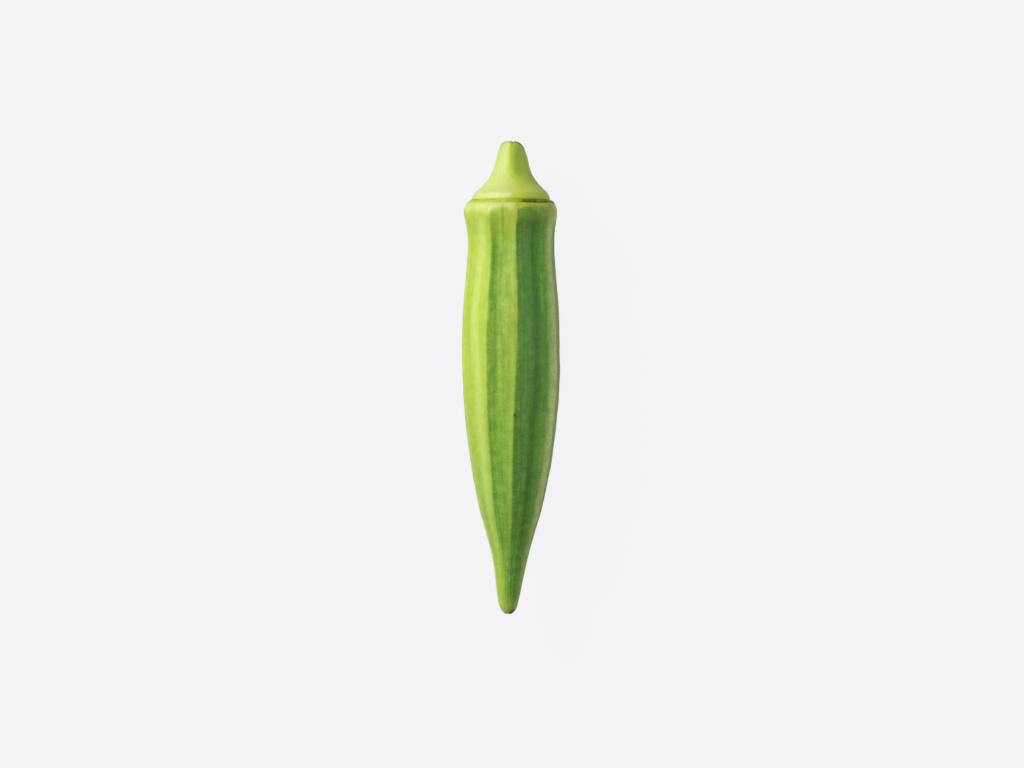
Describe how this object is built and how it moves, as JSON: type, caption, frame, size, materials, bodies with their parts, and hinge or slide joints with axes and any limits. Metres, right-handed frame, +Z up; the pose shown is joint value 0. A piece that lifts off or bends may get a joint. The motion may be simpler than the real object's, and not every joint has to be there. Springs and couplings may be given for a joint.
{
  "type": "okra pod",
  "caption": "Fresh okra pod as picked, lying on its side: ridged green pod tapering to a blunt tip, with a pale flared cap and a cut stalk.",
  "frame": {"origin": "on the surface it lies on, under the middle of its box", "axes": "+Z up, +Y along the pod from its tip to its cut stalk, +X to the right seen from above with the stalk away"},
  "size_m": [0.0206, 0.1, 0.0206],
  "materials": {
    "pod_skin": "fresh mid-green plant skin, satin, with a short pale down and paler ridges",
    "cap_skin": "pale yellow-green plant skin, satin, paler at the lip, browned at the cut"
  },
  "bodies": {
    "root": {"pod": "pod_skin", "stem_cap": "cap_skin"}
  },
  "joints": []
}
